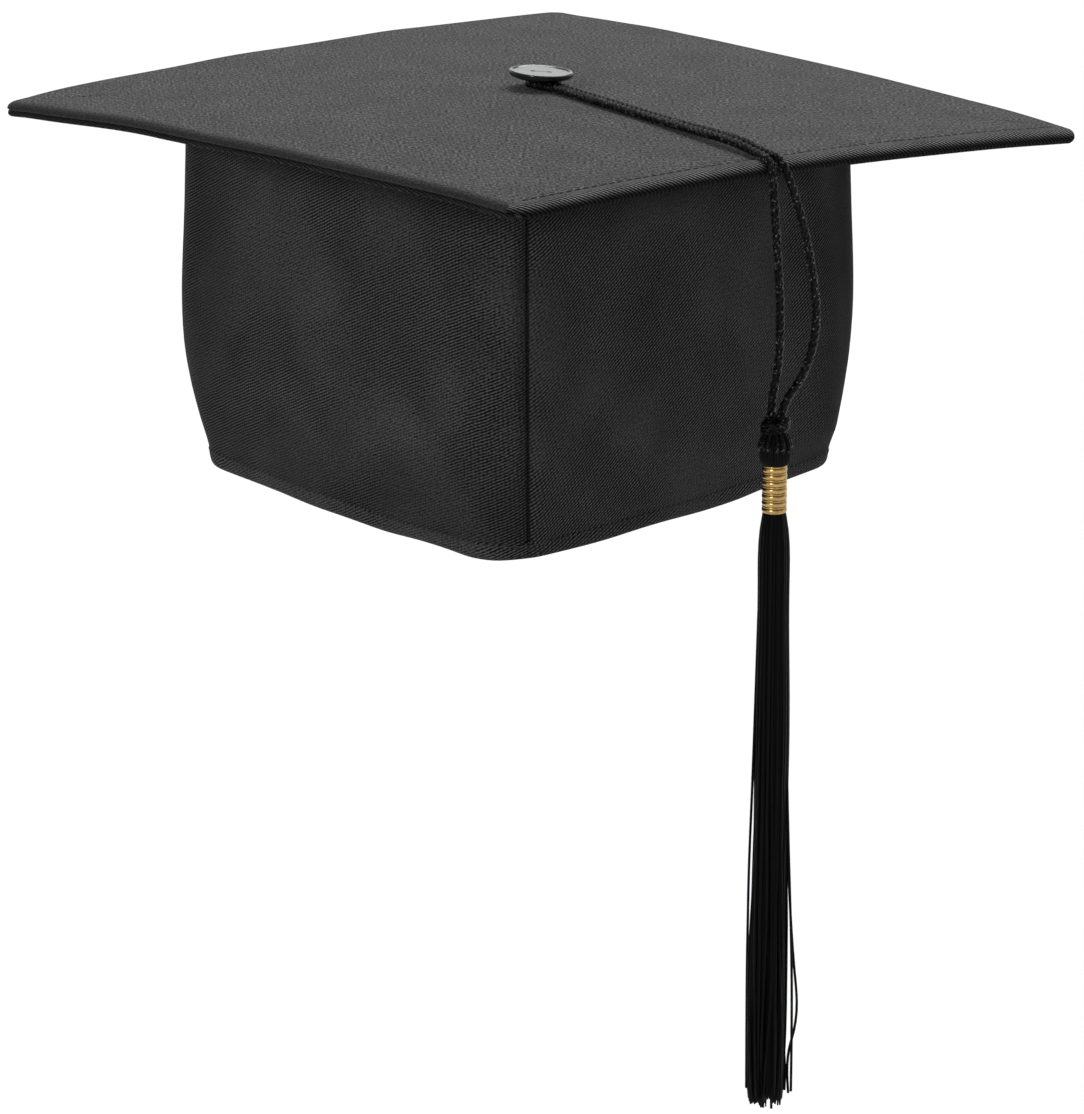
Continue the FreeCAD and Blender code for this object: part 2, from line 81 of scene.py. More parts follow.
# ---- crown ----
# Height, half width and half length of its outer face, in millimetres.
CROWN_STATIONS = [
    (0.0, 98.2, 116.3), (14.0, 101.0, 118.0), (27.0, 103.8, 119.2), (40.0, 105.6, 120.0),
    (58.0, 106.0, 120.2), (90.0, 104.6, 119.4), (125.0, 103.2, 118.6),
]
CROWN_SIDE_CORNER_R = 19.0 * MM
CROWN_NOSE_R = 18.0 * MM
CROWN_SIDE_ARC_R = 700.0 * MM
SIDE_CORNER_ALONG = 152 * MM
WALL_THICKNESS = 1.6 * MM
HEM_HEIGHT = 5.4 * MM
HEM_CLOTH = 0.6 * MM
HEM_THREAD_Z = 4.4 * MM
HEM_STITCH_PITCH = 3.2 * MM
PANEL_FOOT_Z = 0.9 * MM
PANEL_CLOTH = 0.6 * MM
HEM_STRIP = 0.35 * MM
# The cloth's folds at each side's corner, right 1 and left -1: depth and outward shift, in millimetres
# and as a share of it. No hollow is deeper than DEEPEST_HOLLOW, so that the stiffener stays hidden.
SIDE_FOLDS = {1: (5.0, 0.22), -1: (1.5, 0.1)}
DEEPEST_HOLLOW = -0.3
# Painted shade in the crown's cloth, from 0 to 1, and the distances over which it fades: from the board
# and from the seams. The left panel also gets painted shade beside its seams and at its foot.
PAINTED_SHADE_UNDER_BOARD = (0.9, 3 * MM, 24 * MM)
PAINTED_SHADE_AT_BOARD = (1.0, 1 * MM, 6 * MM)
PAINTED_SHADE_IN_SEAM = (1.0, 0.35 * MM, 0.9 * MM)
PAINTED_SHADE_BESIDE_LEFT_SEAM = (0.5, 2 * MM, 6 * MM)
PAINTED_SHADE_AT_CORNER = {1: 0.75, -1: 0.5}

# ---- tassel ----
CORD_BEARING = math.radians(-53.6)
TASSEL = Vector((80.35, -100.35, 0)) * MM
HEAD_TOP_Z = 35.4 * MM
WRAP_TOP_Z = 40.0 * MM
NECK_R = 3.1 * MM
ROUTE_STEP = 0.45 * MM
ROPE_STRAND_R = 0.74 * MM
ROPE_LAY_R = 0.66 * MM
ROPE_PITCH = 7.4 * MM
YARN_ROUGHNESS = 0.32
FRINGE_STRANDS = 200
FRINGE_STEPS = 44
FRINGE_LEAN = 1.0 * MM
# Strands that have come away from the rest: x and y from the tassel's axis, and height, in millimetres.
STRAY_STRANDS = [
    [(3.6, -1, -20), (4.6, -1, -70), (5.6, -1, -100), (6.6, 0, -125), (7.1, 0, -150), (7.0, 0, -175)],
    [(3.4, 0, -40), (4.7, 0, -85), (5.8, 1, -110), (7.3, 1, -132), (8.8, 1, -146), (8.0, 1, -155),
     (6.2, 1, -161), (5.6, 1, -169), (6.2, 1, -176)],
    [(-4.4, 0, -20), (-5.6, 0, -70), (-6.6, 0, -100), (-6.8, 0, -118), (-7.0, 0, -140), (-6.8, 0, -174)],
    [(3.0, 1, -90), (4.2, 1, -140), (4.6, 1, -160), (5.2, 1, -168), (5.0, 1, -175)],
    [(-1.0, 3, -80), (-0.8, 4.6, -120), (-1.5, 5.0, -150), (-1.2, 4.6, -178)],
    [(0.5, -3, -80), (1.2, -4.4, -120), (0.6, -4.8, -150), (0.9, -4.4, -179)],
]

# The loop cord's route, as in the CAD source, in millimetres. On the board: distance from the
# button's axis along the cord's bearing, offset to the right of it, height above the cloth.
STRAIGHT_STRAND_ON_BOARD = [
    (-3.4, -3.4, 1.5), (2.6, -3.4, 1.5), (8.5, -1.6, 1.55), (20.0, -1.5, 1.55),
    (41.0, -1.8, 1.6), (65.0, -1.5, 1.6), (86.0, -1.7, 2.2), (103.0, -1.6, 2.8),
    (114.0, -1.9, 1.9),
]
BOWED_STRAND_ON_BOARD = [
    (-3.4, 3.4, 1.5), (2.6, 3.4, 1.5), (8.5, 1.6, 1.55), (20.0, 1.5, 1.55),
    (41.0, 1.2, 1.6), (65.0, 1.5, 1.6), (86.0, 1.3, 2.5), (103.0, 1.4, 3.2),
    (114.0, 1.3, 2.0),
]
STRAIGHT_STRAND_BELOW = [
    (78.4, -102.0, 118.3), (79.2, -101.4, 109.5), (80.3, -101.0, 94.0), (81.7, -100.6, 72.0),
    (81.3, -100.45, 56.0), (78.9, -100.35, 44.5), (78.9, -100.35, 35.4),
]
BOWED_STRAND_BELOW = [
    (81.3, -99.1, 118.4), (84.9, -100.0, 109.5), (88.4, -100.6, 97.5), (91.4, -101.0, 82.5),
    (92.6, -101.0, 67.5), (88.9, -100.8, 53.0), (81.8, -100.35, 43.6), (81.8, -100.35, 35.4),
]


# ---- meshes ----

def new_object(name, data):
    made = bpy.data.objects.new(name, data)
    bpy.context.scene.collection.objects.link(made)
    return made


def new_piece(name, points, faces, flipped=False, **places):
    """A smooth mesh object. Each of places is an attribute with three numbers for every point. cloth is
    where the point is on the flat cloth or yarn, in metres. The second number of band sets the shade
    painted into its colour: the distance past the board's edge, in metres, or the crown's painted shade."""
    mesh = bpy.data.meshes.new(name)
    faces = [face[::-1] for face in faces] if flipped else faces
    mesh.from_pydata([tuple(point) for point in points], [], faces)
    mesh.shade_smooth()
    for key, values in places.items():
        attribute = mesh.attributes.new(key, "FLOAT_VECTOR", "POINT")
        attribute.data.foreach_set("vector", [number for place in values for number in place])
    return new_object(name, mesh)


def grid_faces(rows, columns, closed=False, first=0):
    faces = []
    for row in range(rows - 1):
        for column in range(columns if closed else columns - 1):
            after = (column + 1) % columns
            low, high = first + row * columns, first + (row + 1) * columns
            faces.append((low + column, low + after, high + after, high + column))
    return faces


def thicken(piece, thickness):
    """Gives a sheet its cloth's thickness, inwards from the face that was built."""
    modifier = piece.modifiers.new("cloth", "SOLIDIFY")
    modifier.thickness = thickness
    modifier.offset = -1
    modifier.use_rim = True
    bpy.context.view_layer.update()
    evaluated = piece.evaluated_get(bpy.context.evaluated_depsgraph_get())
    solid = bpy.data.meshes.new_from_object(evaluated)
    piece.modifiers.clear()
    piece.data = solid


def finish_piece(piece, body, slot, material, *nodes):
    piece.data.materials.clear()
    piece.data.materials.append(material)
    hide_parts(*nodes)
    if body:
        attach(piece, body)


def soft_noise(x, y, z):
    return noise.noise(Vector((x, y, z)))


def carried_frames(points):
    """For each point of a line: two crosswise unit vectors, carried along it without twisting."""
    frames = []
    across = None
    for index in range(len(points)):
        before = points[max(index - 1, 0)]
        after = points[min(index + 1, len(points) - 1)]
        ahead = (after - before).normalized()
        if across is None:
            across = ahead.orthogonal()
        across = (across - ahead * across.dot(ahead)).normalized()
        frames.append((across.copy(), ahead.cross(across)))
    return frames


def distances(points):
    total = [0.0]
    for start, end in zip(points, points[1:]):
        total.append(total[-1] + (end - start).length)
    return total


def add_tube(points, radius, sides, verts, faces, cloth):
    """Adds a closed round tube along a line. radius is a number or one number for each point."""
    radii = radius if isinstance(radius, list) else [radius] * len(points)
    first = len(verts)
    along = distances(points)
    for index, (point, (across, up)) in enumerate(zip(points, carried_frames(points))):
        for side in range(sides):
            angle = math.tau * side / sides
            verts.append(point + (across * math.cos(angle) + up * math.sin(angle)) * radii[index])
            cloth.append((along[index], radii[index] * angle, 0))
    faces.extend(grid_faces(len(points), sides, True, first))
    last = first + (len(points) - 1) * sides
    faces.append(tuple(range(first + sides - 1, first - 1, -1)))
    faces.append(tuple(range(last, last + sides)))


def tube_piece(name, lines, radius, sides):
    verts, faces, cloth = [], [], []
    for line in lines:
        add_tube(line, radius, sides, verts, faces, cloth)
    return new_piece(name, verts, faces, cloth=cloth)


def twisted_strands(points, strands, lay_radius, pitch, phase=0.0):
    """The lines that strands follow when they are twisted together along a line."""
    frames = carried_frames(points)
    along = distances(points)
    lines = []
    for strand in range(strands):
        line = []
        for point, (across, up), length in zip(points, frames, along):
            angle = math.tau * (length / pitch + strand / strands) + phase
            line.append(point + (across * math.cos(angle) + up * math.sin(angle)) * lay_radius)
        lines.append(line)
    return lines


# ---- materials ----

def add_node(tree, kind, settings=None, **inputs):
    """A node with its settings, and its inputs linked or set. Input 0 is called i0, and so on."""
    node = tree.nodes.new("ShaderNode" + kind)
    for key, value in (settings or {}).items():
        setattr(node, key, value)
    for key, value in inputs.items():
        number = key[0] == "i" and key[1:].isdigit()
        socket = node.inputs[int(key[1:]) if number else key.replace("_", " ")]
        if isinstance(value, bpy.types.NodeSocket):
            tree.links.new(value, socket)
        else:
            socket.default_value = value
    return node


def new_material(name, specular=0.5, **sockets):
    material = bpy.data.materials.new(name)
    material.use_nodes = True
    shader = material.node_tree.nodes["Principled BSDF"]
    shader.inputs["Specular IOR Level"].default_value = specular
    for key, value in sockets.items():
        shader.inputs[key.replace("_", " ")].default_value = value
    return material, material.node_tree, shader


def math_node(tree, operation, *values):
    inputs = {f"i{index}": value for index, value in enumerate(values)}
    return add_node(tree, "Math", {"operation": operation}, **inputs).outputs[0]


def times(tree, first, second):
    return math_node(tree, "MULTIPLY", first, second)


def scaled(tree, value, factor, offset):
    return math_node(tree, "MULTIPLY_ADD", value, factor, offset)


def ramp(tree, value, start, end, low=0.0, high=1.0, kind="LINEAR"):
    """low up to start and high from end on, with a straight or a smooth change between them."""
    node = add_node(tree, "MapRange", {"interpolation_type": kind}, Value=value, From_Min=start,
                    From_Max=end, To_Min=low, To_Max=high)
    return node.outputs["Result"]


def ribs(tree, coordinates, angle, pitch):
    """0 to 1 across parallel ribs that lie at an angle to the cloth's first direction."""
    turn = math.tau / pitch
    across = (-math.sin(angle) * turn, math.cos(angle) * turn, 0)
    dot = add_node(tree, "VectorMath", {"operation": "DOT_PRODUCT"}, i0=coordinates, i1=across)
    return scaled(tree, math_node(tree, "SINE", dot.outputs["Value"]), 0.5, 0.5)


def noise_node(tree, coordinates, size, detail=2.0):
    """Noise from 0 to 1 whose spots are about size across."""
    node = add_node(tree, "TexNoise", Vector=coordinates, Scale=1 / size, Detail=detail)
    return node.outputs["Fac"]


def cloth_place(tree, attribute="cloth"):
    """Where a point is: on the flat cloth for a piece made here, in space for a CAD node."""
    if attribute:
        return add_node(tree, "Attribute", {"attribute_name": attribute}).outputs["Vector"]
    return add_node(tree, "TexCoord").outputs["Object"]


def grey(value):
    return (value, value, value)


def mixed_colour(tree, shader, factor, dark, light):
    mix = add_node(tree, "Mix", {"data_type": "RGBA"}, i0=factor)
    mix.inputs[6].default_value = (*dark, 1)
    mix.inputs[7].default_value = (*light, 1)
    tree.links.new(mix.outputs[2], shader.inputs["Base Color"])


def bumped(tree, shader, height, depth):
    bump = add_node(tree, "Bump", Height=height, Distance=depth, Strength=1.0)
    tree.links.new(bump.outputs["Normal"], shader.inputs["Normal"])


def twill(name, dark, light, angle, pitch, depth, grain, place="cloth", cut=0.6, speckle=1.2, sharp=1.0,
          lines=1.0, fade=0.0, shade=None, **sockets):
    """Woven cloth: diagonal ribs cut into floats by the threads that cross them, with a loose grain.
    angle is in degrees, and pitch, depth and grain are in millimetres. cut is how far those threads cut
    the ribs, sharp how narrow the ribs are, lines how strong, and fade how far soft patches lose them.
    shade paints shade into its colour by band's second number: where that starts and ends, and what is left
    there."""
    material, tree, shader = new_material(name, **sockets)
    place = cloth_place(tree, place)
    plain = 0.3
    turn = math.radians(angle)
    pitch *= MM
    wander = add_node(tree, "TexNoise", Vector=place, Scale=140.0, Detail=1.0)
    shift = add_node(tree, "VectorMath", {"operation": "MULTIPLY_ADD"},
                     i0=wander.outputs["Color"], i1=(pitch, pitch, 0), i2=place)
    rib = math_node(tree, "POWER", ribs(tree, shift.outputs[0], turn, pitch), sharp)
    crossing = ribs(tree, shift.outputs[0], turn + math.radians(68), pitch * 1.45)
    woven = times(tree, rib, scaled(tree, crossing, cut, 1 - cut))
    woven = scaled(tree, woven, lines, (1 - lines) * plain)
    if fade:
        kept = ramp(tree, noise_node(tree, place, 0.045), 0.42, 0.6, 1.0, 1 - fade, "SMOOTHSTEP")
        woven = scaled(tree, math_node(tree, "ADD", woven, -plain), kept, plain)
    speck = noise_node(tree, place, grain * MM, 1.0)
    woven = math_node(tree, "ADD", woven, scaled(tree, speck, speckle, -speckle / 2))
    patch = noise_node(tree, place, 0.02, 3.0)
    tone = times(tree, woven, scaled(tree, patch, 1.0, 0.5))
    # Painted shade: the colour darkens with band's second number.
    if shade:
        band = add_node(tree, "SeparateXYZ", Vector=cloth_place(tree, "band"))
        left = ramp(tree, band.outputs["Y"], shade[0], shade[1], 1.0, shade[2], "SMOOTHSTEP")
        tone = times(tree, tone, left)
    mixed_colour(tree, shader, tone, grey(dark), grey(light))
    bumped(tree, shader, woven, depth * MM)
    return material


def yarn(name, dark, light, pitch, depth, glint=0.0, **sockets):
    """Filament yarn: fine fibres that wind round each strand. With a glint, small spots get a light colour,
    a painted glint, and other spots are smoother by that much. pitch and depth are in millimetres."""
    material, tree, shader = new_material(name, **sockets)
    place = cloth_place(tree)
    fibre = ribs(tree, place, math.radians(28), pitch * MM)
    speck = noise_node(tree, place, 0.5 * MM, 1.0)
    height = scaled(tree, speck, 0.9, fibre)
    tone = height
    if glint:
        # Painted glints: small spots of light colour on the fibres.
        lit = ramp(tree, noise_node(tree, place, 0.9 * MM, 1.0), 0.62, 0.7)
        tone = times(tree, lit, fibre)
        rough = ramp(tree, speck, 0.56, 0.66, YARN_ROUGHNESS, YARN_ROUGHNESS - glint)
        tree.links.new(rough, shader.inputs["Roughness"])
    mixed_colour(tree, shader, tone, grey(dark), grey(light))
    bumped(tree, shader, height, depth * MM)
    return material


# shade paints shade into the colour from band's second number, the crown's painted shade.
def crown_cloth(name, angle, pitch, light=0.034, speckle=0.9, shade=(0, 1, 0.2)):
    return twill(name, 0.0012, light, angle, pitch, 0.25, 0.8, cut=0.55, speckle=speckle, sharp=2.3,
                 fade=0.6, shade=shade, Roughness=0.75, specular=0.06)


def brass():
    material, tree, shader = new_material("ferrule_brass", Metallic=1.0)
    place = cloth_place(tree, None)
    stain = noise_node(tree, place, 1.6 * MM, 4.0)
    mixed_colour(tree, shader, stain, (0.19, 0.095, 0.02), (0.66, 0.46, 0.18))
    scratch = noise_node(tree, place, 0.25 * MM, 3.0)
    rough = scaled(tree, scratch, 0.2, 0.16)
    tree.links.new(rough, shader.inputs["Roughness"])
    bumped(tree, shader, scratch, 0.01 * MM)
    return material


def button_plastic():
    """Black at the side and below; the face that looks up is painted grey, as painted light and reflection.
    """
    material, tree, shader = new_material("button_plastic", Coat_Weight=0.4, Coat_Roughness=0.06,
                                          specular=0.35)
    place = cloth_place(tree, None)
    cloud = noise_node(tree, place, 4 * MM, 3.0)
    # Painted light: the colour turns grey where the surface's normal looks up.
    normal = add_node(tree, "NewGeometry").outputs["Normal"]
    upward = add_node(tree, "SeparateXYZ", Vector=normal).outputs["Z"]
    face = ramp(tree, upward, 0.9, 0.985)
    tone = times(tree, face, scaled(tree, cloud, 0.4, 0.6))
    mixed_colour(tree, shader, tone, (0.003, 0.003, 0.0034), (0.24, 0.245, 0.255))
    scuff = noise_node(tree, place, 0.4 * MM, 4.0)
    tree.links.new(scaled(tree, scuff, 0.2, 0.12), shader.inputs["Roughness"])
    bumped(tree, shader, scuff, 0.004 * MM)
    return material


# The same black cloth as the crown's, with a lighter tone: painted light and sheen for the top that faces
# the lamps. Its shade is painted shade, darker towards the edge's underside.
BOARD_CLOTH = twill("board_cloth", 0.012, 0.152, 30, 0.75, 0.1, 1.0,
                    cut=0.7, speckle=2.7, lines=0.4, shade=(-5.5 * MM, 0.6 * MM, 0.12),
                    Roughness=0.9, Sheen_Weight=0.04, Sheen_Roughness=0.5, specular=0.12)
# The same black cloth round the edge: the ribs' light tone is partly a painted highlight on their tops, and
# its shade is painted shade, darker down towards the underside.
EDGE_CLOTH = twill("board_edge_cloth", 0.0005, 0.34, 40, 1.05, 0.45, 0.6, "band",
                   cut=0.3, speckle=0.5, sharp=2.4, shade=(-1.0 * MM, 2.2 * MM, 0.05),
                   Roughness=0.8, specular=0.05)
UNDER_TWILL = crown_cloth("board_under_twill", 120, 0.9, shade=None)
LEFT_TWILL = crown_cloth("crown_twill_left", 23.5, 0.87, 0.105, 0.8)
RIGHT_TWILL = crown_cloth("crown_twill_right", 36, 0.95, 0.092, 0.6)
HEM_TWILL = crown_cloth("hem_twill", 27, 1.05, 0.09, 0.7, None)
INTERLINING = twill("interlining", 0.012, 0.035, 0, 0.9, 0.03, 0.9, None,
                    Roughness=0.95, specular=0.1)
CORE = twill("core_sheet", 0.02, 0.035, 0, 2, 0.02, 2, None, Roughness=0.9)
TAPE = twill("seam_tape", 0.006, 0.02, 90, 0.9, 0.08, 0.5, None,
             Roughness=0.8, specular=0.15)
ELASTIC = twill("elastic", 0.006, 0.03, 0, 1.8, 0.3, 0.6, None,
                Roughness=0.7, specular=0.2)
THREAD = yarn("sewing_thread", 0.001, 0.006, 0.25, 0.03, Roughness=0.5, specular=0.15)
# The cord's light tone shows only in its painted glints.
CORD_YARN = yarn("twisted_cord", 0.0006, 0.4, 0.35, 0.35, glint=0.2, specular=0.22)
HEM_THREAD = yarn("hem_thread", 0.015, 0.05, 0.25, 0.03, Roughness=0.7, specular=0.1)
TASSEL_YARN = yarn("tassel_yarn", 0.0006, 0.003, 0.35, 0.06, Roughness=0.5, specular=0.08)
BRASS = brass()
BUTTON_PLASTIC = button_plastic()
BUTTON_THREAD = twill("button_thread_grey", 0.1, 0.24, 60, 0.4, 0.05, 0.3, None,
                      Roughness=0.7, specular=0.1)
THREAD_ON_CAD = twill("thread_on_cad", 0.002, 0.01, 60, 0.4, 0.05, 0.3, None,
                      Roughness=0.6, specular=0.2)


# ---- board ----

def board_to_cap(x, y, up):
    """From the board's own frame, with up above its bowed top face, to the cap's frame."""
    fall = x ** 2 / (2 * BOW_RADIUS_SIDEWAYS) + y ** 2 / (2 * BOW_RADIUS_FORE_AFT)
    z = up - fall
    run, rise = math.cos(BOARD_TILT), math.sin(BOARD_TILT)
    return Vector((BUTTON_AXIS_X + x * run + z * rise, y, BOARD_TOP_Z - x * rise + z * run))


def square_ring(inset):
    """Points round the board at an inset: their place, outward direction, side and place along it."""
    half = BOARD_HALF_SIDE - inset
    corner_r = max(BOARD_CORNER_R - inset, min(0.4 * MM, half * 0.5))
    straight = half - corner_r
    ring = []
    for side in range(4):
        turn = math.radians(-45 + 90 * side)
        out = Vector((math.cos(turn), math.sin(turn)))
        along = Vector((-out.y, out.x))
        for step in range(SIDE_STEPS):
            place = (2 * step / SIDE_STEPS - 1) * straight
            ring.append((out * half + along * place, out, side, place))
        for step in range(CORNER_STEPS):
            angle = math.radians(90) * step / CORNER_STEPS
            direction = out * math.cos(angle) + along * math.sin(angle)
            centre = (out + along) * straight
            ring.append((centre + direction * corner_r, direction, side, straight))
    return ring


def smooth(value, low, high):
    share = min(max((value - low) / (high - low), 0), 1)
    return share * share * (3 - 2 * share)


def top_relief(place, inset):
    """How the top cloth puffs up along the stitched edge, with the groove of its stitches."""
    groove = math.exp(-((inset - STITCH_INSET) / (0.9 * MM)) ** 2)
    puff = smooth(inset, 0, 3 * MM) * (1 - smooth(inset, 4.5 * MM, 7.5 * MM))
    pucker = 0.5 + 0.5 * math.cos(math.tau * place / STITCH_PITCH)
    return 0.5 * MM * puff - groove * (0.3 + 0.2 * pucker) * MM


def edge_wave(side, along):
    """How far a free edge of the covers strays outwards and upwards: both covers follow it."""
    calm = 0.35 if side == STITCHED_SIDE else 1.0
    fade = 1 - smooth(abs(along), BOARD_HALF_SIDE - 14 * MM, BOARD_HALF_SIDE - BOARD_CORNER_R)
    sway = soft_noise(along * 17 + side * 7, 4.2, 0) * 0.9 * MM
    lift = soft_noise(along * 21 + side * 11, 1.7, 0) * 0.9 * MM
    return strayed(sway) * calm * fade, strayed(lift) * calm * fade


def strayed(distance):
    """Less inwards than outwards, so that the covers stay clear of the core."""
    return distance if distance > 0 else 0.3 * distance


def cover_piece(name, rings, stitched_rings, under):
    """A cover sheet over rings given as (inset, depth), with others on the stitched side."""
    points, cloth, band = [], [], []
    for free, stitched in zip(rings, stitched_rings):
        for place, out, side, along in square_ring(free[0]):
            share = 1 - smooth(out.angle(STITCHED_OUT), math.radians(15), math.radians(75))
            inset = free[0] + (stitched[0] - free[0]) * share
            depth = free[1] + (stitched[1] - free[1]) * share
            place = place - out * (inset - free[0])
            wave = (0.25 + noise.noise(Vector((place.x, place.y, 0.3)) * 28)) * 0.3 * MM
            fine = noise.noise(Vector((place.x, place.y, 0.9)) * 75) * 0.1 * MM
            edge = 1 - smooth(inset, 2 * MM, 30 * MM)
            up = -depth
            if under:
                up -= (wave * 0.5 + fine) * (1 - edge)
            else:
                up += top_relief(along, inset) * share * (depth < BOARD_THICKNESS / 2)
                up += (wave * 0.6 + fine) * (1 - edge)
            sway, lift = edge_wave(side, along)
            spot = place + out * sway * edge
            points.append(board_to_cap(spot.x, spot.y, up + (wave * 0.5 + lift) * edge))
            cloth.append((place.x + out.x * depth, place.y + out.y * depth, 0))
            # band's second number is the distance past the board's edge, which sets the painted shade
            # there.
            band.append((place.dot(STITCHED_ALONG), depth - inset, 0))
    columns = 4 * (SIDE_STEPS + CORNER_STEPS)
    faces = grid_faces(len(rings), columns, True)
    centre = len(points)
    points.append(board_to_cap(0, 0, -rings[-1][1]))
    cloth.append((0, 0, 0))
    band.append((0, 0, 0))
    last = (len(rings) - 1) * columns
    for column in range(columns):
        faces.append((last + column, last + (column + 1) % columns, centre))
    return new_piece(name, points, faces, under, cloth=cloth, band=band)


def inner_rings(first, ratio=1.28):
    """Insets from the edge to the middle, ever further apart."""
    insets = [first]
    step = 1.0 * MM
    while insets[-1] + step < BOARD_HALF_SIDE - 1.5 * MM:
        insets.append(insets[-1] + step)
        step = min(step * ratio, 6 * MM)
    return insets


def make_covers():
    over = [math.radians(90) * step / 6 for step in range(7)]
    tuck = [(1.5 * MM, COVER_SEAM_DEPTH + 0.2 * MM), (0.7 * MM, COVER_SEAM_DEPTH + 0.1 * MM)]
    roll = [(TOP_ROLL_REACH * (1 - math.sin(turn)), TOP_ROLL_DEPTH * (1 - math.cos(turn)))
            for turn in reversed(over)]
    flat = [(inset, 0.0) for inset in inner_rings(TOP_ROLL_REACH + 0.7 * MM)]
    fold_r = BOARD_THICKNESS / 2 + 0.1 * MM
    fold = [math.radians(-90 + 180 * step / 7) for step in range(8)]
    wrapped = [(STITCH_INSET + 1.5 * MM, BOARD_THICKNESS + 0.3 * MM)]
    wrapped += [(fold_r * (1 - math.cos(turn)), fold_r * (1 - math.sin(turn))) for turn in fold]
    top = cover_piece("top_cover_cloth", tuck + roll + flat, wrapped + flat, False)
    thicken(top, COVER_CLOTH)
    finish_piece(top, "cap", "board_cloth", BOARD_CLOTH, "top_cover")
    top.data.materials.append(EDGE_CLOTH)
    for polygon in top.data.polygons:
        if on_stitched_band(polygon.center):
            polygon.material_index = 1

    ridge_r = (BOARD_THICKNESS - COVER_SEAM_DEPTH) / 2 + 0.25 * MM
    ridge_depth = COVER_SEAM_DEPTH + ridge_r - 0.15 * MM
    half_turn = [math.radians(180) * step / 8 for step in range(9)]
    ridge = [(2.2 * MM, COVER_SEAM_DEPTH - 0.3 * MM)]
    ridge += [(0.2 * MM + ridge_r * (1 - math.sin(turn)), ridge_depth - ridge_r * math.cos(turn))
              for turn in half_turn]
    hidden = [((2.6 + 0.1 * step) * MM, BOARD_THICKNESS - 0.2 * MM) for step in range(len(ridge))]
    under_flat = [(inset, BOARD_THICKNESS) for inset in inner_rings(3.8 * MM)]
    bottom = cover_piece("bottom_cover_cloth", ridge + under_flat, hidden + under_flat, True)
    thicken(bottom, COVER_CLOTH)
    finish_piece(bottom, "cap", "board_cloth", UNDER_TWILL, "bottom_cover")


def on_stitched_band(point):
    """Whether a point of the top cloth lies outside the row of stitches on the right front edge."""
    reach = Vector((point.x - BUTTON_AXIS_X, point.y)).dot(STITCHED_OUT)
    return reach > BOARD_HALF_SIDE - STITCH_INSET


def make_board_stitches():
    """Single stitches on both faces, each a short bowed thread that dives into the cloth."""
    stitches = []
    count = int(STITCH_ROW_LENGTH / STITCH_PITCH)
    reach = BOARD_HALF_SIDE - STITCH_INSET
    for index in range(count):
        middle = (index - (count - 1) / 2) * STITCH_PITCH
        for face in (1, -1):
            line = []
            for step in range(7):
                share = step / 3 - 1
                spot = STITCHED_OUT * reach + STITCHED_ALONG * (middle + share * STITCH_LENGTH / 2)
                lift = 0.12 * MM - 0.5 * MM * share ** 4
                up = lift - 0.1 * MM if face == 1 else -BOARD_THICKNESS - lift
                line.append(board_to_cap(spot.x, spot.y, up))
            stitches.append(line)
    piece = tube_piece("board_stitches", stitches, STITCH_THREAD_R, 6)
    finish_piece(piece, "cap", "sewing_thread", THREAD, "board_topstitch")


# ---- crown ----

def station(height):
    """The crown's half width and half length at a height, on a smooth line through the stations."""
    rows = [[value * MM for value in row] for row in CROWN_STATIONS]
    last = len(rows) - 2
    index = min(max(sum(height >= row[0] for row in rows) - 1, 0), last)
    low, high = rows[index], rows[index + 1]
    before, after = rows[max(index - 1, 0)], rows[min(index + 2, last + 1)]
    span = high[0] - low[0]
    share = (height - low[0]) / span
    sizes = []
    for axis in (1, 2):
        slope_low = (high[axis] - before[axis]) / (high[0] - before[0]) * span
        slope_high = (after[axis] - low[axis]) / (after[0] - low[0]) * span
        sizes.append(
            low[axis] * (2 * share ** 3 - 3 * share ** 2 + 1)
            + slope_low * (share ** 3 - 2 * share ** 2 + share)
            + high[axis] * (3 * share ** 2 - 2 * share ** 3)
            + slope_high * (share ** 3 - share ** 2)
        )
    return sizes


def arc_points(centre, start, end, steps):
    """Points on an arc round a centre from start to end, the short way, without the end."""
    first, second = start - centre, end - centre
    turn = first.angle_signed(second)
    points = []
    for step in range(steps):
        angle = -turn * step / steps
        points.append(centre + Matrix.Rotation(angle, 2) @ first)
    return points


def crown_quarter(half_width, half_length, inset):
    """The crown's outline from its right side tip to its back nose tip: three arcs."""
    side_r, nose_r = CROWN_SIDE_CORNER_R - inset, CROWN_NOSE_R - inset
    long_r = CROWN_SIDE_ARC_R - inset
    side_c = Vector((half_width - CROWN_SIDE_CORNER_R, 0))
    nose_c = Vector((0, half_length - CROWN_NOSE_R))
    to_side, to_nose = long_r - side_r, long_r - nose_r
    between = nose_c - side_c
    gap = between.length
    along = (to_side ** 2 - to_nose ** 2 + gap ** 2) / (2 * gap)
    off = math.sqrt(to_side ** 2 - along ** 2)
    unit = between / gap
    normal = Vector((unit.y, -unit.x))
    if normal.x > 0:
        normal = -normal
    centre = side_c + unit * along + normal * off
    side_touch = side_c + (side_c - centre).normalized() * side_r
    nose_touch = nose_c + (nose_c - centre).normalized() * nose_r
    side_tip = Vector((half_width - inset, 0))
    nose_tip = Vector((0, half_length - inset))
    return (
        arc_points(side_c, side_tip, side_touch, 14)
        + arc_points(centre, side_touch, nose_touch, 40)
        + arc_points(nose_c, nose_touch, nose_tip, 14)
        + [nose_tip]
    )


